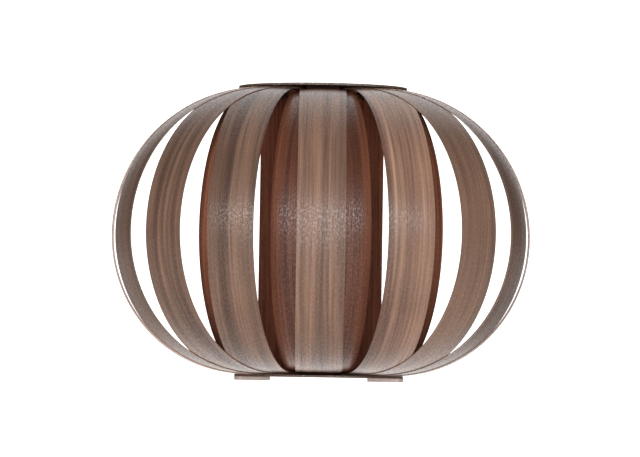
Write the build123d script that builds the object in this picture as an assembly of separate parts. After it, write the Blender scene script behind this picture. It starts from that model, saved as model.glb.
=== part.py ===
from build123d import *
import os
from math import sqrt

# Wall light in bent walnut strips. Origin: the middle of the wall plate's back, on the wall.
# +X to the right, +Z up, and the light stands out from the wall along -Y. Millimetres.

# Strips of the outer shade
strip_width = 43.5
strip_thickness = 0.6
strip_gap = 0.1
shade_half_height = 132.7
belly_drop = 5.0
fan_reach = 157.0
front_reach = 155.0
flat_above = 22.0
flat_below = 34.0
fan_pivot_x = 38.0
fan_pivot_depth = 34.0
front_pivot_depth = 37.0
fan_turns = (16.0, 42.0, 67.0, 86.0)

# Strips of the inner screen that hides the bulb
screen_reach = 129.0
screen_front_turn = 11.0
screen_side_turn = 24.6
screen_trim_clearance = 0.6

# End plates and back board
plate_half_width = 80.0
plate_nose = 44.0
plate_thickness = 2.0
board_width = 118.0
board_thickness = 6.0
board_standoff = 4.5
pad_length = 34.0
pad_thickness = 3.5
pad_depth = 30.0

# Bolts that clamp the strips
bolt_radius = 2.0
bolt_clearance = 0.2
bolt_head_radius = 4.0
bolt_head_height = 1.6
bolt_tip = 1.5
washer_radius = 6.0
washer_thickness = 1.0
nut_width = 7.0
nut_height = 3.2
spacer_width = 31.0
spacer_length = 50.0

# Wood screws of the end plates
plate_screw_x = 45.0
plate_screw_radius = 1.5
plate_screw_length = 22.0
plate_screw_head_radius = 3.0
plate_screw_head_height = 1.5

# Steel wall plate with two hooks
wall_plate_width = 92.0
wall_plate_height = 56.0
wall_plate_thickness = 1.5
wall_plate_corner = 8.0
wall_hole_spacing = 46.0
wall_hole_radius = 2.5
cable_hole_radius = 14.0
hook_x = 34.0
hook_width = 12.0
hook_lip = 6.0
hook_play = 0.1
hook_side_play = 1.0
hook_travel = 8.4

# Cable inlet
inlet_radius = 7.0
grommet_bore = 4.0
grommet_flange = 10.0
grommet_flange_thickness = 1.2

# Angle that carries the lampholder
angle_width = 26.0
angle_thickness = 1.5
angle_drop = 46.0
angle_level = -78.0
angle_screw_radius = 1.75
angle_screw_pitch = 24.0
angle_screw_length = 5.0
angle_screw_head_radius = 3.4
angle_screw_head_height = 1.6
lamp_depth = 75.0
angle_nose = 20.0

# Lampholder
nipple_radius = 5.0
nipple_bore = 3.6
nipple_length = 15.0
nipple_play = 0.1
nipple_nut_width = 14.0
nipple_nut_height = 3.0
holder_radius = 20.0
holder_wall = 2.5
holder_cap_height = 16.0
holder_shell_height = 40.0
holder_cap_floor = 2.5
insert_height = 9.0
insert_play = 0.1
thread_radius = 13.5
thread_wall = 0.6
thread_height = 22.0
tongue_radius = 3.0
tongue_height = 3.5

# Bulb
bulb_cap_radius = 13.1
bulb_cap_height = 25.0
bulb_tip_radius = 5.0
bulb_tip_height = 2.4
bulb_seat_play = 0.1
bulb_radius = 30.0
bulb_neck_radius = 13.0
bulb_neck_height = 8.0
bulb_height = 80.0

# Terminal block
block_width = 34.0
block_height = 18.0
block_depth = 13.0
block_level = 34.0
block_pitch = 10.0
block_wire_radius = 1.8
block_screw_radius = 1.9
block_screw_sink = 1.5
block_screw_length = 5.0


level_step = strip_thickness + strip_gap
top_level = len(fan_turns)
plate_face = shade_half_height + top_level * level_step
plate_outside = plate_face + plate_thickness
board_front = board_standoff + board_thickness
holder_base = angle_level + angle_thickness


def bent_profile(reach, height):
    """Half of a bent sheet's side view: flat ends, and a belly a little below the middle."""
    with BuildLine() as side:
        above = EllipticalCenterArc(
            (flat_above, -belly_drop), reach - flat_above, height + belly_drop, 0, arc_size=90
        )
        below = EllipticalCenterArc(
            (flat_below, -belly_drop), reach - flat_below, height - belly_drop, -90, arc_size=90
        )
        Polyline(above @ 1, (0, height), (0, -height), below @ 0)
    return make_face(side.wires())


def strip_blank(reach, level):
    """A bent strip with its bolt on the Z axis and its belly towards +X."""
    height = shade_half_height + level * level_step
    far = reach + level * level_step
    with BuildPart() as blank:
        with BuildSketch(Plane.XZ):
            add(bent_profile(far, height))
            add(bent_profile(far - strip_thickness, height - strip_thickness), mode=Mode.SUBTRACT)
        revolve(axis=Axis.Z)
        with BuildSketch(Plane.XY.offset(-height - 1)):
            Circle(strip_width / 2)
            with Locations((reach, 0)):
                Rectangle(2 * reach, strip_width)
        extrude(amount=2 * height + 2, mode=Mode.INTERSECT)
        Cylinder(bolt_radius + bolt_clearance, 2 * height + 2, mode=Mode.SUBTRACT)
    return blank.part


def place_strip(blank, pivot_x, pivot_depth, turn):
    """Stand a strip on its bolt, turned from straight ahead towards +X."""
    return Pos(pivot_x, -pivot_depth, 0) * Rot(0, 0, turn - 90) * blank


def mirrored(shape):
    return mirror(shape, about=Plane.YZ)


def make_strips():
    parts = {"strip_front": place_strip(strip_blank(front_reach, 0), 0, front_pivot_depth, 0)}
    for level, turn in enumerate(fan_turns, start=1):
        strip = place_strip(strip_blank(fan_reach, level), fan_pivot_x, fan_pivot_depth, turn)
        parts[f"strip_right_{level}"] = strip
        parts[f"strip_left_{level}"] = mirrored(strip)
    return parts


def make_screen():
    """Four inner strips: two crossing behind the front strip, one behind each first side strip."""
    right = place_strip(
        strip_blank(screen_reach, -1), 0, front_pivot_depth, screen_front_turn
    )
    left = place_strip(
        strip_blank(screen_reach, -2), 0, front_pivot_depth, -screen_front_turn
    )
    side = place_strip(
        strip_blank(screen_reach, 0), fan_pivot_x, fan_pivot_depth, screen_side_turn
    )
    trim = strip_width / 2 + screen_trim_clearance
    side -= Pos(0, -fan_pivot_depth, 0) * Box(2 * trim, 4 * screen_reach, 4 * shade_half_height)
    return {
        "screen_front_right": right,
        "screen_front_left": left,
        "screen_side_right": side,
        "screen_side_left": mirrored(side),
    }


def bolt_places():
    """The bolt axes on one end plate: both fans and the front strip."""
    return (
        (-fan_pivot_x, -fan_pivot_depth),
        (fan_pivot_x, -fan_pivot_depth),
        (0, -front_pivot_depth),
    )


def plate_outline():
    """A half oval in front, run straight back to the back of the board."""
    with BuildSketch() as outline:
        with Locations((0, -fan_pivot_depth)):
            Ellipse(plate_half_width, plate_nose)
        cut = Rectangle(
            4 * plate_half_width, 2 * plate_half_width, align=(Align.CENTER, Align.MIN), mode=Mode.PRIVATE
        )
        add(Pos(0, -fan_pivot_depth) * cut, mode=Mode.SUBTRACT)
        straight = Rectangle(
            2 * plate_half_width,
            fan_pivot_depth - board_standoff,
            align=(Align.CENTER, Align.MIN),
            mode=Mode.PRIVATE,
        )
        add(Pos(0, -fan_pivot_depth) * straight)
    return outline.sketch


def make_top_plate():
    """The upper end plate, countersunk for its three bolts and two wood screws."""
    plate = Pos(0, 0, plate_face) * extrude(plate_outline(), amount=plate_thickness)
    for x, y in bolt_places():
        plate -= Pos(x, y, 0) * bolt_hole()
    for x in (-plate_screw_x, plate_screw_x):
        plate -= Pos(x, -board_standoff - board_thickness / 2, 0) * plate_screw(bolt_clearance / 2)
    return plate


def bolt_hole():
    """The hole and countersink of one bolt in the upper plate."""
    shank = Cylinder(bolt_radius + bolt_clearance, 4 * plate_outside)
    sink = Cone(
        bolt_radius + bolt_clearance, bolt_head_radius + bolt_clearance,
        bolt_head_height, align=(Align.CENTER, Align.CENTER, Align.MAX),
    )
    return shank + Pos(0, 0, plate_outside) * sink


def plate_screw(play=0.0):
    """A countersunk wood screw, flush with the upper plate's outside."""
    shank = Cylinder(
        plate_screw_radius + play, plate_screw_length + play,
        align=(Align.CENTER, Align.CENTER, Align.MAX),
    )
    head = Cone(
        plate_screw_radius + play, plate_screw_head_radius + play,
        plate_screw_head_height, align=(Align.CENTER, Align.CENTER, Align.MAX),
    )
    return Pos(0, 0, plate_outside) * (shank + head)


def make_plates():
    top = make_top_plate()
    return {"top_plate": top, "bottom_plate": mirror(top, about=Plane.XY)}


def make_pads():
    """A pad under each end of the lower plate, with the plate's own rounded end."""
    pad = Pos(0, 0, -plate_outside - pad_thickness) * extrude(plate_outline(), amount=pad_thickness)
    middle = fan_pivot_depth - pad_depth / 2
    keep = Pos(plate_half_width - pad_length / 2, -middle - pad_depth / 2, -plate_outside)
    pad &= keep * Box(pad_length, pad_depth, 4 * pad_thickness)
    return {"pad_right": pad, "pad_left": mirrored(pad)}


def make_fasteners():
    """Bolts, washers, nuts and spacers, each kind as one group."""
    bolts, washers, nuts, spacers, screws = [], [], [], [], []
    shank_hole = Cylinder(bolt_radius + bolt_clearance / 2, 4 * nut_height)
    for x, y in bolt_places():
        lowest = -2 if x == 0 else 0
        inside = shade_half_height + lowest * level_step - strip_thickness
        nut_face = inside - washer_thickness
        tip = nut_face - nut_height - bolt_tip
        shank = Cylinder(
            bolt_radius, plate_outside - tip, align=(Align.CENTER, Align.CENTER, Align.MAX)
        )
        head = Cone(
            bolt_radius, bolt_head_radius, bolt_head_height,
            align=(Align.CENTER, Align.CENTER, Align.MAX),
        )
        bolts.append(Pos(x, y, plate_outside) * (shank + head))
        ring = Cylinder(washer_radius, washer_thickness, align=(Align.CENTER, Align.CENTER, Align.MAX))
        washers.append(Pos(x, y, inside) * (ring - shank_hole))
        hexagon = extrude(RegularPolygon(nut_width / 2, 6, major_radius=False), amount=-nut_height)
        nuts.append(Pos(x, y, nut_face) * (hexagon - shank_hole))
        if x == 0:
            packing = Box(
                spacer_width, spacer_length, plate_face - shade_half_height,
                align=(Align.CENTER, Align.CENTER, Align.MAX),
            )
            forward = Pos(0, strip_width / 2 - spacer_length / 2, 0)
            spacers.append(Pos(x, y, plate_face) * (forward * packing - shank_hole))
    for x in (-plate_screw_x, plate_screw_x):
        screws.append(Pos(x, -board_standoff - board_thickness / 2, 0) * plate_screw())
    groups = {
        "strip_bolts": bolts,
        "strip_washers": washers,
        "strip_nuts": nuts,
        "front_spacers": spacers,
        "plate_screws": screws,
    }
    both = {}
    for name, solids in groups.items():
        lower = [mirror(solid, about=Plane.XY) for solid in solids]
        both[name] = Compound(children=solids + lower)
    return both


def make_back_board():
    """The upright board between the end plates, slotted for the hooks and bored for the cable."""
    with BuildPart() as board:
        with Locations((0, -board_standoff - board_thickness / 2, 0)):
            Box(board_width, board_thickness, 2 * plate_face)
        slot_height = wall_plate_thickness + hook_travel + 2 * hook_play
        slot_middle = hook_play - slot_height / 2
        for x in (-hook_x, hook_x):
            with Locations((x, -board_standoff - board_thickness / 2, slot_middle)):
                Box(hook_width + 2 * hook_side_play, 2 * board_thickness, slot_height, mode=Mode.SUBTRACT)
        with Locations(Location((0, -board_standoff, 0), (90, 0, 0))):
            Cylinder(inlet_radius, 4 * board_thickness, mode=Mode.SUBTRACT)
    result = board.part
    for side in (1, -1):
        for x in (-plate_screw_x, plate_screw_x):
            hole = Cylinder(
                plate_screw_radius + bolt_clearance / 2, plate_screw_length + bolt_clearance / 2,
                align=(Align.CENTER, Align.CENTER, Align.MAX if side > 0 else Align.MIN),
            )
            result -= Pos(x, -board_standoff - board_thickness / 2, side * plate_outside) * hole
    for z in angle_screw_levels():
        result -= Pos(0, -board_front, z) * Rot(90, 0, 0) * Cylinder(
            angle_screw_radius, 2 * angle_screw_length
        )
    result -= block_screw_place() * Cylinder(block_screw_radius, 2 * block_screw_length)
    return {"back_board": result}


def make_wall_plate():
    """A pressed steel plate with a cable hole, two screw holes and two upturned hooks."""
    with BuildPart() as plate:
        with BuildSketch(Plane.XZ):
            RectangleRounded(wall_plate_width, wall_plate_height, wall_plate_corner)
            with Locations((-wall_hole_spacing / 2, 0), (wall_hole_spacing / 2, 0)):
                Circle(wall_hole_radius, mode=Mode.SUBTRACT)
            Circle(cable_hole_radius, mode=Mode.SUBTRACT)
        extrude(amount=wall_plate_thickness)
        neck = board_front + hook_play + wall_plate_thickness
        for x in (-hook_x, hook_x):
            with BuildSketch(Plane.YZ.offset(x - hook_width / 2)):
                with BuildLine():
                    Polyline(
                        (0, 0),
                        (-neck + wall_plate_thickness, 0),
                        (-neck + wall_plate_thickness, hook_lip),
                        (-neck, hook_lip),
                        (-neck, -wall_plate_thickness),
                        (0, -wall_plate_thickness),
                        close=True,
                    )
                make_face()
            extrude(amount=hook_width)
    return {"wall_plate": plate.part}


def make_grommet():
    """A rubber grommet in the board's cable hole, with a flange on each side."""
    with BuildPart() as grommet:
        Cylinder(inlet_radius, board_thickness)
        for side in (-1, 1):
            with Locations((0, 0, side * (board_thickness + grommet_flange_thickness) / 2)):
                Cylinder(grommet_flange, grommet_flange_thickness)
        Cylinder(grommet_bore, 2 * board_thickness, mode=Mode.SUBTRACT)
    place = Pos(0, -board_standoff - board_thickness / 2, 0) * Rot(90, 0, 0)
    return {"cable_grommet": place * grommet.part}


def angle_screw_levels():
    middle = angle_level - angle_drop / 2
    return (middle - angle_screw_pitch / 2, middle + angle_screw_pitch / 2)


def make_angle():
    """The bent steel angle under the lampholder, and its two screws."""
    shelf_length = lamp_depth - board_front + angle_nose
    shelf = Pos(0, -board_front, angle_level) * Box(
        angle_width, shelf_length, angle_thickness, align=(Align.CENTER, Align.MAX, Align.MIN)
    )
    shelf = fillet(shelf.edges().filter_by(Axis.Z).group_by(Axis.Y)[0], angle_width / 3)
    leg = Pos(0, -board_front, angle_level + angle_thickness) * Box(
        angle_width, angle_thickness, angle_drop + angle_thickness,
        align=(Align.CENTER, Align.MAX, Align.MAX),
    )
    angle = shelf + leg
    angle -= Pos(0, -lamp_depth, angle_level) * Cylinder(nipple_radius + nipple_play, 4 * angle_thickness)
    screws = []
    for z in angle_screw_levels():
        place = Pos(0, -board_front - angle_thickness, z) * Rot(-90, 0, 0)
        angle -= place * Cylinder(angle_screw_radius + bolt_clearance, 4 * angle_thickness)
        shank = Cylinder(
            angle_screw_radius, angle_thickness + angle_screw_length,
            align=(Align.CENTER, Align.CENTER, Align.MIN),
        )
        head = Cylinder(
            angle_screw_head_radius, angle_screw_head_height,
            align=(Align.CENTER, Align.CENTER, Align.MAX),
        )
        head = fillet(head.edges().group_by(Axis.Z)[0], angle_screw_head_height / 2)
        screws.append(place * (shank + head))
    return {"holder_angle": angle, "angle_screws": Compound(children=screws)}


def make_lampholder():
    """A plain lampholder: threaded nipple, nut, cap, shell, insert and brass contacts."""
    low = (Align.CENTER, Align.CENTER, Align.MIN)
    axis = Pos(0, -lamp_depth, 0)
    nipple_base = holder_base + holder_cap_floor + nipple_nut_height - nipple_length
    nipple = Cylinder(nipple_radius, nipple_length, align=low)
    nipple -= Cylinder(nipple_bore, 3 * nipple_length)
    nut = extrude(RegularPolygon(nipple_nut_width / 2, 6, major_radius=False), amount=-nipple_nut_height)
    nut -= Cylinder(nipple_radius + nipple_play / 2, 3 * nipple_nut_height)
    cap = Cylinder(holder_radius, holder_cap_height, align=low)
    cap = fillet(cap.edges().group_by(Axis.Z)[0], 3 * holder_wall / 2)
    cap -= Pos(0, 0, holder_cap_floor) * Cylinder(holder_radius - holder_wall, holder_cap_height, align=low)
    cap -= Cylinder(nipple_radius + nipple_play / 2, 3 * holder_cap_floor)
    shell_base = holder_base + holder_cap_height
    shell = Cylinder(holder_radius, holder_shell_height, align=low)
    shell -= Cylinder(holder_radius - holder_wall, 3 * holder_shell_height)
    rim = shell.edges().group_by(Axis.Z)[-1].sort_by(SortBy.LENGTH)[-1]
    shell = fillet(rim, holder_wall / 2)
    insert = Cylinder(holder_radius - holder_wall - insert_play, insert_height, align=low)
    sleeve_base = shell_base + insert_height
    sleeve = Cylinder(thread_radius + thread_wall, thread_height, align=low)
    sleeve -= Cylinder(thread_radius, 3 * thread_height)
    tongue = Cylinder(tongue_radius, tongue_height, align=low)
    return {
        "holder_nipple": axis * Pos(0, 0, nipple_base) * nipple,
        "nipple_nut": axis * Pos(0, 0, angle_level) * nut,
        "holder_cap": axis * Pos(0, 0, holder_base) * cap,
        "holder_shell": axis * Pos(0, 0, shell_base) * shell,
        "holder_insert": axis * Pos(0, 0, shell_base) * insert,
        "thread_sleeve": axis * Pos(0, 0, sleeve_base) * sleeve,
        "centre_contact": axis * Pos(0, 0, sleeve_base) * tongue,
    }


def make_bulb():
    """A screw-in bulb: tip, metal cap and pear-shaped glass."""
    low = (Align.CENTER, Align.CENTER, Align.MIN)
    tip_base = holder_base + holder_cap_height + insert_height + tongue_height + bulb_seat_play
    cap_base = tip_base + bulb_tip_height
    glass_base = cap_base + bulb_cap_height
    axis = Pos(0, -lamp_depth, 0)
    tip = Cone(bulb_tip_radius, bulb_cap_radius - 2, bulb_tip_height, align=low)
    cap = Cylinder(bulb_cap_radius, bulb_cap_height, align=low)
    ball = bulb_height - bulb_radius
    with BuildPart() as glass:
        with BuildSketch(Plane.XZ):
            with BuildLine():
                crown = CenterArc((0, ball), bulb_radius, -30, 120)
                neck = Line((bulb_neck_radius, 0), (bulb_neck_radius, bulb_neck_height))
                shoulder = Bezier(
                    neck @ 1,
                    (neck @ 1) + (neck % 1) * bulb_neck_height,
                    (crown @ 0) - (crown % 0) * bulb_neck_height,
                    crown @ 0,
                )
                Polyline(crown @ 1, (0, 0), neck @ 0)
            make_face()
        revolve(axis=Axis.Z)
    return {
        "bulb_tip": axis * Pos(0, 0, tip_base) * tip,
        "bulb_cap": axis * Pos(0, 0, cap_base) * cap,
        "bulb_glass": axis * Pos(0, 0, glass_base) * glass.part,
    }


def block_screw_place():
    """On the board's face, in the middle of the terminal block."""
    return Pos(0, -board_front, block_level) * Rot(90, 0, 0)


def make_terminal_block():
    """A three-way terminal block with wire ports right through and a clamp screw over each."""
    middle = Pos(0, -board_front - block_depth / 2, block_level)
    block = middle * Box(block_width, block_depth, block_height)
    block = fillet(block.edges().filter_by(Axis.Z).group_by(Axis.Y)[0], 1.5)
    screws = []
    for x in (-block_pitch, 0, block_pitch):
        port = middle * Pos(x, 0, 0)
        if x:
            block -= port * Cylinder(block_wire_radius, 2 * block_height)
            for z in (-block_height / 4, block_height / 4):
                face = port * Pos(0, -block_depth / 2, z) * Rot(90, 0, 0)
                block -= face * Cylinder(block_screw_radius + bolt_clearance, 2 * block_depth / 3)
                screw = Cylinder(block_screw_radius, block_depth / 3 - block_screw_sink,
                                 align=(Align.CENTER, Align.CENTER, Align.MAX))
                slot = Box(4 * block_screw_radius, 0.7, 1.2)
                screws.append(face * Pos(0, 0, -block_screw_sink) * (screw - slot))
    hole = block_screw_place() * Cylinder(block_screw_radius + bolt_clearance, 3 * block_depth)
    block -= hole
    length = block_depth + block_screw_length
    fixing = Cylinder(block_screw_radius, length, align=(Align.CENTER, Align.CENTER, Align.MIN))
    head = Cylinder(2 * block_screw_radius, block_screw_sink, align=(Align.CENTER, Align.CENTER, Align.MIN))
    fixing = block_screw_place() * Pos(0, 0, -block_screw_length) * (fixing + Pos(0, 0, length) * head)
    return {
        "terminal_block": block,
        "terminal_screws": Compound(children=screws),
        "block_screw": fixing,
    }


def build():
    parts = {}
    makers = (
        make_strips, make_screen, make_plates, make_pads, make_fasteners, make_back_board,
        make_wall_plate, make_grommet, make_angle, make_lampholder, make_bulb, make_terminal_block,
    )
    for maker in makers:
        parts.update(maker())
    return parts


os.makedirs("parts", exist_ok=True)
for node, shape in build().items():
    export_step(shape, f"parts/{node}.step")
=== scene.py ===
"""Dresses the walnut strip wall light: strips, end plates, lampholder, bulb, fittings and stage."""
import math

import bmesh
import bpy
from bpy.props import FloatProperty, FloatVectorProperty, PointerProperty
from mathutils import Matrix, Vector


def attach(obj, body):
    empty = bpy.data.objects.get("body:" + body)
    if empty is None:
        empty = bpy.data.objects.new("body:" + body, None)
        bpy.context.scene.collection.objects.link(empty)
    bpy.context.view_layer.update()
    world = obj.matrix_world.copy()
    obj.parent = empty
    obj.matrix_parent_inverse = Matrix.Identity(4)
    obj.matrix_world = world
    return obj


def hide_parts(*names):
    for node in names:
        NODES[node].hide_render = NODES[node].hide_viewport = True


bl_info = {
    "name": "Strip wall light",
    "version": (1, 0, 0),
    "blender": (4, 5, 0),
    "location": "3D View > Sidebar > Wall light",
    "description": "Builds the looks of a wall light of bent walnut strips",
    "category": "Object",
}

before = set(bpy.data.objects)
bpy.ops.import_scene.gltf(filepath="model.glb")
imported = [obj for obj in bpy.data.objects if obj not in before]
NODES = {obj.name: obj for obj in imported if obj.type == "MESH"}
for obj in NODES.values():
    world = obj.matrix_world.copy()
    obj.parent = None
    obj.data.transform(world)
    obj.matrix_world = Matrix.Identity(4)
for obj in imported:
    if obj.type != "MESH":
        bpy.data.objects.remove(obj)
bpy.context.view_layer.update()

# Camera: distance from the point it aims at, lens, rise and roll in degrees, how far it sees
CAMERA_DISTANCE = 2.465
CAMERA_LENS = 146.3
CAMERA_RISE = -2.95
CAMERA_ROLL = 0.9
CAMERA_FAR = 50.0
AIM = (-0.0009, -0.034, 0.0033)

# Floor and white surroundings: they are bright straight behind the light and dim elsewhere,
# and the reach says how wide the bright part is in the sky and on the floor
FLOOR_LEVEL = -0.55
FLOOR_SIZE = 30.0
FLOOR_CELLS = 8
FLOOR_COLOUR = (0.82, 0.82, 0.81, 1.0)
FLOOR_ROUGHNESS = 0.8
WHITE = (1.0, 1.0, 1.0, 1.0)
FRONT_LIGHT = 0.14
BACK_LIGHT = 1.7
SKY_REACH = 0.4
FLOOR_REACH = 0.5

# Softboxes: name, place, size across and up, watts
LAMPS = [
    ("key", (0.0, -2.2, 0.5), (4.4, 0.35), 56.0),
    ("front", (0.0, -2.8, -0.1), (2.0, 0.5), 18.0),
]
LAMP_TARGET = (0.0, -0.08, 0.0)

# Rows and columns of a strip's mesh; the belly's rows end at this angle above and below
END_ROWS = 16
BELLY_ROWS = 110
COLUMNS = 14
END_ANGLE = 75.0
SHARP_ANGLE = 40.0

# Strip name, bolt (sideways, depth), turn from straight ahead, level in the stack, reach,
# and how light the wood of the strip and of its left twin is; the outermost strips' tone also
# paints a reflection, and the side screens' tone lightens their painted shade
FAN_BOLT = (0.038, 0.034)
FRONT_BOLT = (0.0, 0.037)
STRIPS = [
    ("strip_front", FRONT_BOLT, 0.0, 0, 0.155, (0.95, 1.0)),
    ("screen_front_right", FRONT_BOLT, 11.0, -1, 0.129, (0.85, 1.0)),
    ("screen_front_left", FRONT_BOLT, -11.0, -2, 0.129, (1.05, 1.0)),
    # The side screens' raised tone lightens their painted shade
    ("screen_side_right", FAN_BOLT, 24.6, 0, 0.129, (1.4, 1.4)),
    ("strip_right_1", FAN_BOLT, 16.0, 1, 0.157, (1.2, 0.76)),
    ("strip_right_2", FAN_BOLT, 42.0, 2, 0.157, (0.85, 0.85)),
    ("strip_right_3", FAN_BOLT, 67.0, 3, 0.157, (0.8, 0.75)),
    # The outermost strips' doubled tone is a painted reflection of the white surroundings
    ("strip_right_4", FAN_BOLT, 86.0, 4, 0.157, (2.0, 2.0)),
]
FIRST_SEED = 1.0
SEED_STEP = 3.7

# Walnut grain: the noise scale, detail and roughness of a pattern, and where it fades in
SWAY_NOISE = (1.0, 2.0, 0.5)
CLOUD_NOISE = (16.0, 3.0, 0.5)
BANDS = (70.0, 2.0, 0.55, 0.30, 0.62)
STREAKS = (230.0, 2.0, 0.5, 0.50, 0.75)
FINE_LINES = (430.0, 3.0, 0.65, 0.28, 0.72)
PORES = (900.0, 1.0, 0.5, 0.58, 0.75)
FLECKS = (600.0, 1.0, 0.5, 0.42, 0.64)

# How wide the grain sways, how fast each pattern changes along it, how fast the clouds change
# across it, and the seed shifts that keep the streaks and pores apart from the bands and lines
SWAY_WIDTH = 0.004
SWAY_PACE = 5.0
BAND_PACE = 0.012
LINE_PACE = 0.018
FLECK_PACE = 0.6
CLOUD_PACE = 0.5
STREAK_SEED = 7.0
PORE_SEED = 3.0

# What the patterns do to the colour, the roughness, the gleam and the height of the wood
STREAK_SHARE = 0.48
SHADE_BASE = 0.74
SHADE_OF_LINES = 0.58
SHADE_OF_PORES = -0.22
SHADE_OF_CLOUDS = 0.5
ROUGH_BASE = 0.41
ROUGH_OF_FLECKS = -0.10
ROUGH_OF_PORES = 0.15
GLEAM_BASE = 0.6
GLEAM_OF_FLECKS = 0.9
HEIGHT_OF_LINES = 0.5
HEIGHT_OF_FLECKS = 0.6
COAT_ROUGHNESS = 0.32
WOOD_BUMP = 0.22
WOOD_BUMP_DEPTH = 0.00015

# Grit of metal, plastic and ceramic: noise scale, detail and roughness
SPOT_NOISE = (220.0, 4.0, 0.6)
GRAIN_NOISE = (1500.0, 2.0, 0.5)
GRIT_BUMP_DEPTH = 0.0001

# Factors that make the dark, middle and light tone of a wood from the panel's colours; the plates'
# factors darken the walnut into painted shade
PLATE_SHADE_FACTORS = (0.45, 0.42, 0.42)
# The screens' tones spread a painted shade and warm bounce colour
SCREEN_SHADE_FACTORS = (0.5, 1.0, 1.6)
# The board's tones spread a painted warm bounce light colour
BOARD_BOUNCE_FACTORS = (0.6, 1.0, 1.3)

# Dark, middle and light tone of the woods that hardly show: the pads, and the packing, nearly black
# as a painted shadow under the plates
PAD_TONES = ((0.34, 0.24, 0.20), (0.46, 0.36, 0.32), (0.55, 0.45, 0.40))
PACKING_SHADOW_TONES = ((0.02, 0.01, 0.007), (0.04, 0.02, 0.014), (0.06, 0.03, 0.02))

# Turns that lay the grain along the X axis or the Z axis of a piece
ALONG_X = (0.0, 0.0, math.pi / 2)
ALONG_Z = (math.pi / 2, 0.0, 0.0)
UNTURNED = (0.0, 0.0, 0.0)


class StripSizes(bpy.types.PropertyGroup):
    """Sizes of the bent strips"""
    width: FloatProperty(
        name="Strip width", description="Width of every strip", default=0.0435, unit="LENGTH"
    )
    thickness: FloatProperty(
        name="Strip thickness", description="Thickness of the veneer", default=0.0006, unit="LENGTH"
    )
    gap: FloatProperty(
        name="Gap", description="Air between two stacked strips", default=0.0001, unit="LENGTH"
    )
    half_height: FloatProperty(
        name="Half height", description="From the middle to the outside of level 0",
        default=0.1327, unit="LENGTH",
    )
    flat_above: FloatProperty(
        name="Upper flat", description="Flat round the upper bolt", default=0.022, unit="LENGTH"
    )
    flat_below: FloatProperty(
        name="Lower flat", description="Flat round the lower bolt", default=0.034, unit="LENGTH"
    )
    belly_drop: FloatProperty(
        name="Belly drop", description="How far the belly lies below the middle",
        default=0.005, unit="LENGTH",
    )
    trim: FloatProperty(
        name="Trim", description="Where the side screens' inner corners are cut",
        default=0.02235, unit="LENGTH",
    )


class WoodColours(bpy.types.PropertyGroup):
    """Colours of the walnut"""
    dark: FloatVectorProperty(
        name="Dark grain", description="Colour of the dark bands", subtype="COLOR",
        default=(0.092, 0.049, 0.034),
    )
    mid: FloatVectorProperty(
        name="Mid tone", description="Main colour of the veneer", subtype="COLOR",
        default=(0.195, 0.109, 0.074),
    )
    light: FloatVectorProperty(
        name="Light grain", description="Colour of the pale streaks", subtype="COLOR",
        default=(0.300, 0.188, 0.120),
    )
    # Painted shade and warm bounce light: the inner strips' walnut is made darker and redder
    screen: FloatVectorProperty(
        name="Screen tone", description="Main colour of the inner strips", subtype="COLOR",
        default=(0.145, 0.050, 0.026),
    )
    # Painted warm bounce light: the back board is made lighter and orange-red
    board: FloatVectorProperty(
        name="Board tone", description="Main colour of the back board", subtype="COLOR",
        default=(0.340, 0.112, 0.055),
    )


def add_sockets(group, way, kind, *names):
    """Add sockets of one kind to a node group."""
    for name in names:
        group.interface.new_socket(name=name, in_out=way, socket_type=kind)


def link(tree, out_socket, in_socket):
    tree.links.new(out_socket, in_socket)


def feed(tree, values, sockets):
    """Give each socket its value: a plain number, or the output of another node."""
    for value, socket in zip(values, sockets):
        if isinstance(value, float):
            socket.default_value = value
        else:
            link(tree, value, socket)


def math_node(tree, operation, *values):
    node = tree.nodes.new("ShaderNodeMath")
    node.operation = operation
    feed(tree, values, node.inputs)
    return node.outputs[0]


def vector_of(tree, *values):
    node = tree.nodes.new("ShaderNodeCombineXYZ")
    feed(tree, values, node.inputs)
    return node.outputs[0]


def add_share(tree, base, value, share):
    """A base plus a share of a value."""
    return math_node(tree, "ADD", base, math_node(tree, "MULTIPLY", value, share))


def centred(tree, value):
    """A noise value moved so that its middle is at 0."""
    return math_node(tree, "SUBTRACT", value, 0.5)


def scaled_colour(tree, colour, factor):
    """A colour made lighter or darker by a factor."""
    node = tree.nodes.new("ShaderNodeVectorMath")
    node.operation = "SCALE"
    link(tree, colour, node.inputs[0])
    link(tree, factor, node.inputs["Scale"])
    return node.outputs[0]


def noise(tree, vector, settings):
    node = tree.nodes.new("ShaderNodeTexNoise")
    for name, value in zip(("Scale", "Detail", "Roughness"), settings):
        node.inputs[name].default_value = value
    link(tree, vector, node.inputs["Vector"])
    return node.outputs["Fac"]


def ramp(tree, factor, low, high):
    """Spread the part of a factor between low and high over 0 to 1."""
    node = tree.nodes.new("ShaderNodeMapRange")
    node.interpolation_type = "SMOOTHSTEP"
    node.inputs["From Min"].default_value = low
    node.inputs["From Max"].default_value = high
    link(tree, factor, node.inputs["Value"])
    return node.outputs["Result"]


def pattern_mask(tree, vector, pattern):
    """Where a grain pattern shows, from 0 to 1."""
    *settings, low, high = pattern
    return ramp(tree, noise(tree, vector, settings), low, high)


def mix(tree, factor, first, second):
    """Mix two colours by a factor."""
    node = tree.nodes.new("ShaderNodeMix")
    node.data_type = "RGBA"
    for slot, socket in ((0, factor), (6, first), (7, second)):
        link(tree, socket, node.inputs[slot])
    return node.outputs[2]


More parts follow.
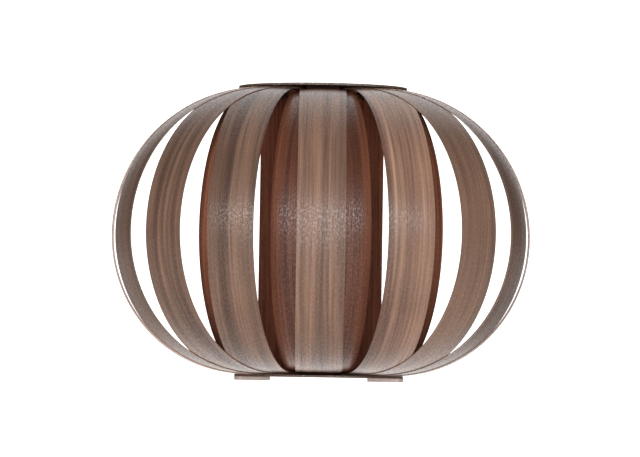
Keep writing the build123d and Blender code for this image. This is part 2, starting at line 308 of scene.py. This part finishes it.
def veneer_group():
    """Walnut grain that runs along Y: bands, streaks, fine lines, pores, flecks and clouds."""
    group = bpy.data.node_groups.new("Walnut grain", "ShaderNodeTree")
    add_sockets(group, "INPUT", "NodeSocketVector", "Place")
    add_sockets(group, "INPUT", "NodeSocketColor", "Dark", "Mid", "Light")
    add_sockets(group, "OUTPUT", "NodeSocketColor", "Colour")
    add_sockets(group, "OUTPUT", "NodeSocketFloat", "Roughness", "Height", "Gleam")
    start = group.nodes.new("NodeGroupInput")
    end = group.nodes.new("NodeGroupOutput")
    parts = group.nodes.new("ShaderNodeSeparateXYZ")
    link(group, start.outputs["Place"], parts.inputs[0])
    across, along, seed = parts.outputs

    paced = math_node(group, "MULTIPLY", along, SWAY_PACE)
    sway = noise(group, vector_of(group, 0.0, paced, seed), SWAY_NOISE)
    across = add_share(group, across, centred(group, sway), SWAY_WIDTH)
    paced = math_node(group, "MULTIPLY", along, BAND_PACE)
    bands = pattern_mask(group, vector_of(group, across, paced, seed), BANDS)
    streak_seed = math_node(group, "ADD", seed, STREAK_SEED)
    streaks = pattern_mask(group, vector_of(group, across, paced, streak_seed), STREAKS)
    paced = math_node(group, "MULTIPLY", along, LINE_PACE)
    lines = pattern_mask(group, vector_of(group, across, paced, seed), FINE_LINES)
    pore_seed = math_node(group, "ADD", seed, PORE_SEED)
    pores = pattern_mask(group, vector_of(group, across, paced, pore_seed), PORES)
    paced = math_node(group, "MULTIPLY", along, FLECK_PACE)
    flecks = pattern_mask(group, vector_of(group, across, paced, seed), FLECKS)
    paced = math_node(group, "MULTIPLY", across, CLOUD_PACE)
    clouds = noise(group, vector_of(group, paced, along, seed), CLOUD_NOISE)

    base = mix(group, bands, start.outputs["Dark"], start.outputs["Mid"])
    streaks = math_node(group, "MULTIPLY", streaks, STREAK_SHARE)
    base = mix(group, streaks, base, start.outputs["Light"])
    shade = add_share(group, SHADE_BASE, lines, SHADE_OF_LINES)
    shade = add_share(group, shade, pores, SHADE_OF_PORES)
    shade = add_share(group, shade, centred(group, clouds), SHADE_OF_CLOUDS)
    link(group, scaled_colour(group, base, shade), end.inputs["Colour"])
    rough = add_share(group, ROUGH_BASE, flecks, ROUGH_OF_FLECKS)
    rough = add_share(group, rough, pores, ROUGH_OF_PORES)
    link(group, rough, end.inputs["Roughness"])
    gleam = add_share(group, GLEAM_BASE, flecks, GLEAM_OF_FLECKS)
    link(group, gleam, end.inputs["Gleam"])
    height = math_node(group, "MULTIPLY", lines, HEIGHT_OF_LINES)
    height = math_node(group, "SUBTRACT", height, pores)
    height = add_share(group, height, flecks, HEIGHT_OF_FLECKS)
    link(group, height, end.inputs["Height"])
    return group


def grit_group():
    """Small uneven spots and a finer grain for metal, plastic and ceramic."""
    group = bpy.data.node_groups.new("Fine grit", "ShaderNodeTree")
    add_sockets(group, "INPUT", "NodeSocketVector", "Place")
    add_sockets(group, "INPUT", "NodeSocketColor", "Colour")
    add_sockets(group, "INPUT", "NodeSocketFloat", "Roughness", "Amount")
    add_sockets(group, "OUTPUT", "NodeSocketColor", "Colour")
    add_sockets(group, "OUTPUT", "NodeSocketFloat", "Roughness", "Height")
    start = group.nodes.new("NodeGroupInput")
    end = group.nodes.new("NodeGroupOutput")
    place = start.outputs["Place"]
    spots = noise(group, place, SPOT_NOISE)
    grain = noise(group, place, GRAIN_NOISE)
    wave = math_node(group, "MULTIPLY", centred(group, spots), start.outputs["Amount"])
    shade = math_node(group, "ADD", wave, 1.0)
    colour = scaled_colour(group, start.outputs["Colour"], shade)
    link(group, colour, end.inputs["Colour"])
    rough = math_node(group, "ADD", start.outputs["Roughness"], wave)
    link(group, rough, end.inputs["Roughness"])
    link(group, math_node(group, "ADD", grain, spots), end.inputs["Height"])
    return group


def add_group(tree, name, maker):
    """Put a shared node group into a material, and make the group at its first use."""
    node = tree.nodes.new("ShaderNodeGroup")
    node.node_tree = bpy.data.node_groups.get(name) or maker()
    return node


def new_material(name):
    material = bpy.data.materials.new(name)
    material.use_nodes = True
    tree = material.node_tree
    return material, tree, tree.nodes["Principled BSDF"]


def add_bump(tree, shader, height, strength, distance):
    bump = tree.nodes.new("ShaderNodeBump")
    bump.inputs["Strength"].default_value = strength
    bump.inputs["Distance"].default_value = distance
    link(tree, height, bump.inputs["Height"])
    link(tree, bump.outputs["Normal"], shader.inputs["Normal"])


def place_in_node(tree, turn, seed):
    """The point in a CAD node, turned so that the grain runs along the piece."""
    coordinates = tree.nodes.new("ShaderNodeTexCoord")
    mapping = tree.nodes.new("ShaderNodeMapping")
    mapping.inputs["Rotation"].default_value = turn
    mapping.inputs["Location"].default_value = (0.0, 0.0, seed)
    link(tree, coordinates.outputs["Object"], mapping.inputs["Vector"])
    return mapping.outputs["Vector"]


def carried(tree, name, output):
    """A value that a strip's mesh carries at its points."""
    node = tree.nodes.new("ShaderNodeAttribute")
    node.attribute_name = name
    return node.outputs[output]


def wood(name, dark, mid, light, turn=None, seed=0.0, coat=0.06, gloss=0.34):
    """Satin walnut, its grain along the strip or along a turned axis of the piece."""
    material, tree, shader = new_material(name)
    grain = add_group(tree, "Walnut grain", veneer_group)
    for socket, colour in (("Dark", dark), ("Mid", mid), ("Light", light)):
        grain.inputs[socket].default_value = (*colour, 1.0)
    colour = grain.outputs["Colour"]
    if turn is None:
        place = carried(tree, "on_strip", "Vector")
        # The carried tone is the strip's own wood tone, with a painted reflection on the outermost
        # strips and lightened painted shade on the side screens
        colour = scaled_colour(tree, colour, carried(tree, "tone", "Fac"))
    else:
        place = place_in_node(tree, turn, seed)
    link(tree, place, grain.inputs["Place"])
    link(tree, colour, shader.inputs["Base Color"])
    link(tree, grain.outputs["Roughness"], shader.inputs["Roughness"])
    gleam = math_node(tree, "MULTIPLY", grain.outputs["Gleam"], gloss)
    link(tree, gleam, shader.inputs["Specular IOR Level"])
    shader.inputs["Coat Weight"].default_value = coat
    shader.inputs["Coat Roughness"].default_value = COAT_ROUGHNESS
    add_bump(tree, shader, grain.outputs["Height"], WOOD_BUMP, WOOD_BUMP_DEPTH)
    return material


def plain(name, colour, roughness, metallic=0.0, amount=0.2, bump=0.1, coat=0.0):
    """Metal, plastic, rubber or ceramic with fine unevenness."""
    material, tree, shader = new_material(name)
    grit = add_group(tree, "Fine grit", grit_group)
    link(tree, place_in_node(tree, UNTURNED, 0.0), grit.inputs["Place"])
    grit.inputs["Colour"].default_value = (*colour, 1.0)
    grit.inputs["Roughness"].default_value = roughness
    grit.inputs["Amount"].default_value = amount
    link(tree, grit.outputs["Colour"], shader.inputs["Base Color"])
    link(tree, grit.outputs["Roughness"], shader.inputs["Roughness"])
    shader.inputs["Metallic"].default_value = metallic
    shader.inputs["Coat Weight"].default_value = coat
    add_bump(tree, shader, grit.outputs["Height"], bump, GRIT_BUMP_DEPTH)
    return material


def tones_of(colours, factors):
    """Dark, middle and light tone of a wood: each colour times its factor."""
    return [tuple(c * factor for c in colour) for colour, factor in zip(colours, factors)]


def dress(material, *nodes):
    """Give CAD nodes a material."""
    for node in nodes:
        mesh = NODES[node].data
        mesh.materials.clear()
        mesh.materials.append(material)


def side_view(sizes, far, height, upper):
    """One bend of the side view: its flat, its reach past the flat and its rise from the belly."""
    if upper:
        return sizes.flat_above, far - sizes.flat_above, height + sizes.belly_drop
    return sizes.flat_below, far - sizes.flat_below, sizes.belly_drop - height


def end_rows(sizes, far, height, across, upper):
    """Rows of (out, across, up) from a bolt end to where the belly's rows begin."""
    half = sizes.width / 2
    flat, reach, rise = side_view(sizes, far, height, upper)
    first = flat + reach * math.cos(math.radians(END_ANGLE))
    rows = []
    for j in range(END_ROWS):
        row = []
        for v in across:
            low = -math.sqrt(max(half * half - v * v, 0.0))
            high = math.sqrt(max(first * first - v * v, 0.0))
            u = low + (high - low) * j / END_ROWS
            ratio = min(max((math.hypot(u, v) - flat) / reach, 0.0), 1.0)
            row.append((u, v, rise * math.sqrt(1.0 - ratio * ratio) - sizes.belly_drop))
        rows.append(row)
    return rows


def strip_rows(sizes, far, height):
    """Rows of (out, across, up) from the upper bolt end over the belly to the lower one."""
    half = sizes.width / 2
    across = [half * math.sin(math.pi * (i / COLUMNS - 0.5)) for i in range(COLUMNS + 1)]
    across[0], across[-1] = -half, half
    rows = end_rows(sizes, far, height, across, True)
    for i in range(BELLY_ROWS + 1):
        angle = math.radians(END_ANGLE * (1 - 2 * i / BELLY_ROWS))
        flat, reach, rise = side_view(sizes, far, height, angle > 0)
        distance = flat + reach * math.cos(angle)
        up = rise * math.sin(abs(angle)) - sizes.belly_drop
        rows.append([(math.sqrt(max(distance * distance - v * v, 0.0)), v, up) for v in across])
    rows += reversed(end_rows(sizes, far, height, across, False))
    return rows


def strip_mesh(sizes, level, reach, seed, tone):
    """A thin closed sheet between two nested bent surfaces."""
    step = level * (sizes.thickness + sizes.gap)
    far = reach + step
    height = sizes.half_height + step
    outer = strip_rows(sizes, far, height)
    inner = strip_rows(sizes, far - sizes.thickness, height - sizes.thickness)
    bm = bmesh.new()
    mark = bm.verts.layers.float_vector.new("on_strip")
    # Tone per strip: its own wood tone, a painted reflection on the outermost strips, lightened
    # painted shade on the side screens
    tone_and_painted_light = bm.verts.layers.float.new("tone")
    middle = COLUMNS // 2
    grids = []
    for rows in (outer, inner):
        along = 0.0
        grid = []
        for i, row in enumerate(rows):
            if i:
                along += (Vector(row[middle]) - Vector(rows[i - 1][middle])).length
            line = []
            for u, v, z in row:
                vert = bm.verts.new((u, v, z))
                vert[mark] = (v, along, seed)
                vert[tone_and_painted_light] = tone
                line.append(vert)
            grid.append(line)
        grids.append(grid)
    top, under = grids
    last = len(top) - 1
    for i in range(last):
        for j in range(COLUMNS):
            bm.faces.new((top[i][j], top[i + 1][j], top[i + 1][j + 1], top[i][j + 1]))
            bm.faces.new((under[i][j], under[i][j + 1], under[i + 1][j + 1], under[i + 1][j]))
        for j, flip in ((0, False), (COLUMNS, True)):
            side = [top[i][j], under[i][j], under[i + 1][j], top[i + 1][j]]
            bm.faces.new(reversed(side) if flip else side)
    for i, flip in ((0, True), (last, False)):
        for j in range(COLUMNS):
            side = [top[i][j], under[i][j], under[i][j + 1], top[i][j + 1]]
            bm.faces.new(reversed(side) if flip else side)
    return bm


def trim_corner(bm, side, trim):
    """Cut off a side screen's inner corner, beside the front strip, and close the cut."""
    geometry = bm.verts[:] + bm.edges[:] + bm.faces[:]
    cut = bmesh.ops.bisect_plane(
        bm, geom=geometry, plane_co=(side * trim, 0, 0), plane_no=(-side, 0, 0), clear_outer=True
    )
    edges = [e for e in cut["geom_cut"] if isinstance(e, bmesh.types.BMEdge)]
    bmesh.ops.holes_fill(bm, edges=edges, sides=0)


def finish_mesh(name, bm, material, body, nodes):
    """Turn a bmesh into a smooth piece that rides on its body and stands for its nodes."""
    bmesh.ops.recalc_face_normals(bm, faces=bm.faces)
    mesh = bpy.data.meshes.new(name)
    bm.to_mesh(mesh)
    bm.free()
    mesh.materials.append(material)
    mesh.shade_smooth()
    mesh.set_sharp_from_angle(angle=math.radians(SHARP_ANGLE))
    piece = bpy.data.objects.new(name, mesh)
    bpy.context.scene.collection.objects.link(piece)
    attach(piece, body)
    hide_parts(*nodes)


class TT_OT_strips(bpy.types.Operator):
    """Make the nine outer strips and the four screen strips"""
    bl_idname = "tt.strips"
    bl_label = "Veneer strips"

    def execute(self, context):
        sizes = context.scene.strip_sizes
        colours = context.scene.wood_colours
        outside = wood("walnut_strip", colours.dark, colours.mid, colours.light)
        # The screens carry painted shade and warm bounce light in their colour
        screen_painted_shade = wood("walnut_screen", *tones_of([colours.screen] * 3, SCREEN_SHADE_FACTORS))
        seed = FIRST_SEED
        for name, bolt, turn, level, reach, tones_and_painted_light in STRIPS:
            sides = [(name, 1)]
            if "right" in name and name != "screen_front_right":
                sides.append((name.replace("right", "left"), -1))
            for (node, side), tone in zip(sides, tones_and_painted_light):
                seed += SEED_STEP
                bm = strip_mesh(sizes, level, reach, seed, tone)
                place = Matrix.Translation((side * bolt[0], -bolt[1], 0.0))
                place @= Matrix.Rotation(math.radians(side * turn - 90), 4, "Z")
                bmesh.ops.transform(bm, matrix=place, verts=bm.verts)
                if node.startswith("screen_side"):
                    trim_corner(bm, side, sizes.trim)
                is_screen = node.startswith("screen")
                material = screen_painted_shade if is_screen else outside
                finish_mesh(node + "_veneer", bm, material, "shade", [node])
        return {"FINISHED"}


class TT_OT_boards(bpy.types.Operator):
    """Finish the end plates in painted shade, the packing as a painted shadow, the back board in
    painted warm bounce light, and the pads
    """
    bl_idname = "tt.boards"
    bl_label = "End plates and board"

    def execute(self, context):
        colours = context.scene.wood_colours
        walnut = (colours.dark, colours.mid, colours.light)
        # The plates are darkened walnut: painted shade
        plate = wood("walnut_plate", *tones_of(walnut, PLATE_SHADE_FACTORS), turn=ALONG_X, seed=2.0)
        # The board carries painted warm bounce light in its colour
        board = wood(
            "walnut_board", *tones_of([colours.board] * 3, BOARD_BOUNCE_FACTORS),
            turn=ALONG_Z, seed=5.0, coat=0.0, gloss=0.1,
        )
        pad = wood("pad_wood", *PAD_TONES, turn=ALONG_X)
        # The packing is nearly black: a painted shadow under the plates
        packing = wood("walnut_packing_painted_shadow", *PACKING_SHADOW_TONES, turn=ALONG_X, coat=0.0, gloss=0.0)
        dress(plate, "top_plate", "bottom_plate")
        dress(packing, "front_spacers")
        dress(board, "back_board")
        dress(pad, "pad_left", "pad_right")
        return {"FINISHED"}


class TT_OT_fittings(bpy.types.Operator):
    """Finish the bolts, nuts, screws, wall plate and grommet"""
    bl_idname = "tt.fittings"
    bl_label = "Metal fittings"

    def execute(self, context):
        steel = plain("zinc_steel", (0.62, 0.61, 0.59), roughness=0.32, metallic=1.0)
        blacked = plain("blacked_steel", (0.05, 0.045, 0.04), roughness=0.5, metallic=1.0)
        rubber = plain("black_rubber", (0.02, 0.02, 0.02), roughness=0.7, bump=0.3)
        dress(
            steel, "plate_screws", "wall_plate", "holder_angle", "angle_screws", "nipple_nut",
            "block_screw",
        )
        dress(blacked, "strip_bolts", "strip_washers", "strip_nuts")
        dress(rubber, "cable_grommet")
        return {"FINISHED"}


class TT_OT_lampholder(bpy.types.Operator):
    """Finish the lampholder and the terminal block"""
    bl_idname = "tt.lampholder"
    bl_label = "Lampholder"

    def execute(self, context):
        black = plain("black_plastic", (0.022, 0.022, 0.023), roughness=0.38, bump=0.15)
        ceramic = plain("white_ceramic", (0.80, 0.78, 0.72), roughness=0.45, bump=0.2)
        brass = plain("brass", (0.72, 0.50, 0.20), roughness=0.28, metallic=1.0)
        white = plain("white_plastic", (0.78, 0.78, 0.74), roughness=0.42)
        dress(black, "holder_cap", "holder_shell")
        dress(ceramic, "holder_insert")
        dress(brass, "holder_nipple", "thread_sleeve", "centre_contact", "terminal_screws")
        dress(white, "terminal_block")
        return {"FINISHED"}


class TT_OT_bulb(bpy.types.Operator):
    """Finish the bulb"""
    bl_idname = "tt.bulb"
    bl_label = "Bulb"

    def execute(self, context):
        opal = plain(
            "opal_glass", (0.86, 0.84, 0.78), roughness=0.22, amount=0.05, bump=0.02, coat=0.6
        )
        metal = plain("bulb_aluminium", (0.75, 0.75, 0.74), roughness=0.3, metallic=1.0)
        insulator = plain("bulb_insulator", (0.03, 0.03, 0.03), roughness=0.25)
        dress(opal, "bulb_glass")
        dress(metal, "bulb_cap")
        dress(insulator, "bulb_tip")
        return {"FINISHED"}


def area_light(name, place, size, watts):
    """A softbox that faces the middle of the light."""
    light = bpy.data.lights.new(name, "AREA")
    light.shape = "RECTANGLE"
    light.size, light.size_y = size
    light.energy = watts
    lamp = bpy.data.objects.new(name, light)
    lamp.location = place
    facing = Vector(LAMP_TARGET) - Vector(place)
    lamp.rotation_euler = facing.to_track_quat("-Z", "Y").to_euler()
    bpy.context.scene.collection.objects.link(lamp)


def light_by_depth(tree, place, seen, reach, strength):
    """Full white where it is seen, else bright straight behind the light and dim elsewhere."""
    parts = tree.nodes.new("ShaderNodeSeparateXYZ")
    link(tree, place, parts.inputs[0])
    behind = ramp(tree, parts.outputs["Y"], -reach / 2, reach)
    sideways = math_node(tree, "ABSOLUTE", parts.outputs["X"])
    aside = ramp(tree, sideways, reach / 2, 1.5 * reach)
    behind = math_node(tree, "MULTIPLY", behind, math_node(tree, "SUBTRACT", 1.0, aside))
    lit = add_share(tree, FRONT_LIGHT, behind, BACK_LIGHT - FRONT_LIGHT)
    link(tree, math_node(tree, "MAXIMUM", lit, seen), strength)


def set_world(scene):
    """White surroundings for the camera, and a bright patch behind the light for other rays."""
    world = bpy.data.worlds.new("studio")
    world.use_nodes = True
    scene.world = world
    tree = world.node_tree
    background = tree.nodes["Background"]
    background.inputs["Color"].default_value = WHITE
    rays = tree.nodes.new("ShaderNodeLightPath").outputs
    seen = math_node(tree, "MAXIMUM", rays["Is Camera Ray"], rays["Is Transmission Ray"])
    place = tree.nodes.new("ShaderNodeTexCoord").outputs["Generated"]
    light_by_depth(tree, place, seen, SKY_REACH, background.inputs["Strength"])


def set_floor(scene):
    """A wide pale floor that the camera sees as white."""
    bm = bmesh.new()
    bmesh.ops.create_grid(bm, x_segments=FLOOR_CELLS, y_segments=FLOOR_CELLS, size=FLOOR_SIZE / 2)
    mesh = bpy.data.meshes.new("floor")
    bm.to_mesh(mesh)
    bm.free()
    material, tree, shader = new_material("pale_floor")
    shader.inputs["Base Color"].default_value = FLOOR_COLOUR
    shader.inputs["Roughness"].default_value = FLOOR_ROUGHNESS
    shader.inputs["Emission Color"].default_value = WHITE
    seen = tree.nodes.new("ShaderNodeLightPath").outputs["Is Camera Ray"]
    place = tree.nodes.new("ShaderNodeTexCoord").outputs["Object"]
    light_by_depth(tree, place, seen, FLOOR_REACH, shader.inputs["Emission Strength"])
    mesh.materials.append(material)
    floor = bpy.data.objects.new("floor", mesh)
    floor.location = (0.0, 0.0, FLOOR_LEVEL)
    scene.collection.objects.link(floor)


def set_camera(scene):
    """A long lens in front, a little below the middle of the light."""
    camera = bpy.data.objects.new("camera", bpy.data.cameras.new("camera"))
    camera.data.lens = CAMERA_LENS
    camera.data.clip_end = CAMERA_FAR
    rise = math.radians(CAMERA_RISE)
    out = Vector((0.0, -math.cos(rise), math.sin(rise)))
    camera.location = Vector(AIM) + CAMERA_DISTANCE * out
    facing = (-out).to_track_quat("-Z", "Y").to_matrix().to_4x4()
    roll = Matrix.Rotation(math.radians(CAMERA_ROLL), 4, "Z")
    camera.rotation_euler = (facing @ roll).to_euler()
    scene.collection.objects.link(camera)
    scene.camera = camera


class TT_OT_stage(bpy.types.Operator):
    """Set the floor, the lights, the white background and the camera"""
    bl_idname = "tt.stage"
    bl_label = "Stage"

    def execute(self, context):
        scene = context.scene
        scene.view_settings.view_transform = "Standard"
        set_world(scene)
        set_floor(scene)
        for lamp in LAMPS:
            area_light(*lamp)
        set_camera(scene)
        return {"FINISHED"}


class TT_PT_panel(bpy.types.Panel):
    """The wall light's sizes, colours and pieces"""
    bl_idname = "TT_PT_panel"
    bl_label = "Strip wall light"
    bl_space_type = "VIEW_3D"
    bl_region_type = "UI"
    bl_category = "Wall light"

    def draw(self, context):
        layout = self.layout
        for group in (context.scene.strip_sizes, context.scene.wood_colours):
            for name in group.bl_rna.properties.keys():
                if name not in ("rna_type", "name"):
                    layout.prop(group, name)
        for operator in PIECES:
            layout.operator(operator.bl_idname)


PIECES = (TT_OT_strips, TT_OT_boards, TT_OT_fittings, TT_OT_lampholder, TT_OT_bulb, TT_OT_stage)
CLASSES = (StripSizes, WoodColours, *PIECES, TT_PT_panel)


def register():
    for item in CLASSES:
        bpy.utils.register_class(item)
    bpy.types.Scene.strip_sizes = PointerProperty(type=StripSizes)
    bpy.types.Scene.wood_colours = PointerProperty(type=WoodColours)


def unregister():
    del bpy.types.Scene.wood_colours
    del bpy.types.Scene.strip_sizes
    for item in reversed(CLASSES):
        bpy.utils.unregister_class(item)


def main():
    register()
    bpy.ops.tt.strips()
    bpy.ops.tt.boards()
    bpy.ops.tt.fittings()
    bpy.ops.tt.lampholder()
    bpy.ops.tt.bulb()
    bpy.ops.tt.stage()


if __name__ == "__main__":
    main()
